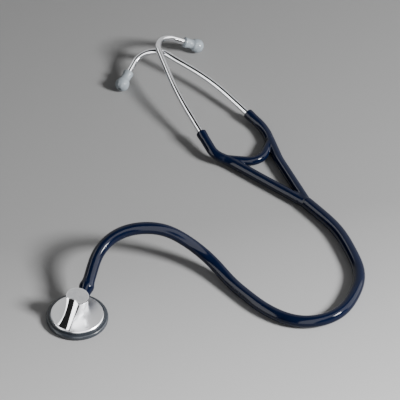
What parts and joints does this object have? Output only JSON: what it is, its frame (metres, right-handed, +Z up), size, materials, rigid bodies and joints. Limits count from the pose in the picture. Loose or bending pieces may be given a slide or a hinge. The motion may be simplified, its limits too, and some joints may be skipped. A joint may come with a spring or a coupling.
{
  "type": "stethoscope",
  "caption": "Single-sided acoustic stethoscope lying on a table: steel chestpiece, navy two-channel tubing with a sprung fork, steel ear tubes and soft eartips.",
  "frame": {"origin": "centre of the chestpiece's contact face, which lies on the table", "axes": "+Z up out of the table and out of the chestpiece's cap; +X and +Y lie in the table's plane, with the ear tubes towards +Y and the tube's wide loop towards +X"},
  "size_m": [0.2654, 0.348, 0.0402],
  "materials": {
    "polished_steel": "mirror polish",
    "satin_steel": "satin",
    "rim_rubber": "smooth",
    "diaphragm_plastic": "smooth",
    "ring_rubber": "matte",
    "tube_navy": "gloss",
    "spring_steel": "blued",
    "ear_tube_steel": "polished",
    "eartip_silicone": "smooth, slightly glossy"
  },
  "bodies": {
    "corner": {"tube_corner": "tube_navy"},
    "front": {"tube_front": "tube_navy"},
    "run": {"tube_run": "tube_navy"},
    "arch": {"tube_arch": "tube_navy"},
    "chestpiece": {"chest_body": "polished_steel", "chest_cap": "satin_steel", "chest_rim": "rim_rubber", "chest_stem": "satin_steel", "tube_collar": "tube_navy"},
    "diaphragm": {"diaphragm": "diaphragm_plastic", "diaphragm_ring": "ring_rubber"},
    "side": {"tube_side": "tube_navy"},
    "return": {"tube_return": "tube_navy"},
    "yoke": {"yoke": "tube_navy", "leaf_spring": "spring_steel"},
    "left_arm": {"left_arm": "tube_navy", "left_ear_tube": "ear_tube_steel", "left_nipple": "satin_steel"},
    "right_arm": {"right_arm": "tube_navy", "right_ear_tube": "ear_tube_steel", "right_nipple": "satin_steel"},
    "left_eartip": {"left_eartip": "eartip_silicone"},
    "right_eartip": {"right_eartip": "eartip_silicone"}
  },
  "joints": [
    {"name": "front_flex", "type": "hinge", "parent": "corner", "child": "front", "pos_m": [0.19815, -0.00807, 0.0052], "axis": [0, 0, 1], "range_deg": [-12, 12], "stiffness_Nm_per_rad": 0.3},
    {"name": "run_flex", "type": "hinge", "parent": "front", "child": "run", "pos_m": [0.14034, 0.02221, 0.0052], "axis": [0, 0, 1], "range_deg": [-12, 12], "stiffness_Nm_per_rad": 0.3},
    {"name": "arch_flex", "type": "hinge", "parent": "run", "child": "arch", "pos_m": [0.06007, 0.07228, 0.03466], "axis": [0, 0, 1], "range_deg": [-12, 12], "stiffness_Nm_per_rad": 0.3},
    {"name": "stem_flex", "type": "hinge", "parent": "arch", "child": "chestpiece", "pos_m": [0.01213, 0.0335, 0.02345], "axis": [-0.9883, 0.1526, 0], "range_deg": [-12, 12], "stiffness_Nm_per_rad": 0.3},
    {"name": "diaphragm_press", "type": "slide", "parent": "chestpiece", "child": "diaphragm", "axis": [0, 0, 1], "range_m": [0, 0.00045], "stiffness_N_per_m": 2500},
    {"name": "corner_flex", "type": "hinge", "parent": "corner", "child": "side", "pos_m": [0.22937, 0.02368, 0.0052], "axis": [0, 0, 1], "range_deg": [-12, 12], "stiffness_Nm_per_rad": 0.3},
    {"name": "side_flex", "type": "hinge", "parent": "side", "child": "return", "pos_m": [0.2258, 0.07658, 0.0052], "axis": [0, 0, 1], "range_deg": [-12, 12], "stiffness_Nm_per_rad": 0.3},
    {"name": "fork_flex", "type": "hinge", "parent": "return", "child": "yoke", "pos_m": [0.19713, 0.12293, 0.0052], "axis": [0, 0, 1], "range_deg": [-12, 12], "stiffness_Nm_per_rad": 0.3},
    {"name": "left_spread", "type": "hinge", "parent": "yoke", "child": "left_arm", "pos_m": [0.1211, 0.18169, 0.00669], "axis": [0.8039, 0.155, 0.5742], "range_deg": [-2, 24], "stiffness_Nm_per_rad": 1.5},
    {"name": "right_spread", "type": "hinge", "parent": "yoke", "child": "right_arm", "pos_m": [0.15958, 0.2063, 0.0047], "axis": [-0.4075, 0.2215, -0.8859], "range_deg": [-2, 24], "stiffness_Nm_per_rad": 1.5},
    {"name": "left_eartip_turn", "type": "hinge", "parent": "left_arm", "child": "left_eartip", "pos_m": [0.08811, 0.31438, 0.01264], "axis": [0.8562, 0.1433, -0.4963], "continuous": true},
    {"name": "right_eartip_turn", "type": "hinge", "parent": "right_arm", "child": "right_eartip", "pos_m": [0.04219, 0.28139, 0.00946], "axis": [-0.4451, -0.8523, -0.2747], "continuous": true}
  ],
  "couplings": [
    {"joint": "right_spread", "follows": "left_spread", "ratio": 1}
  ]
}
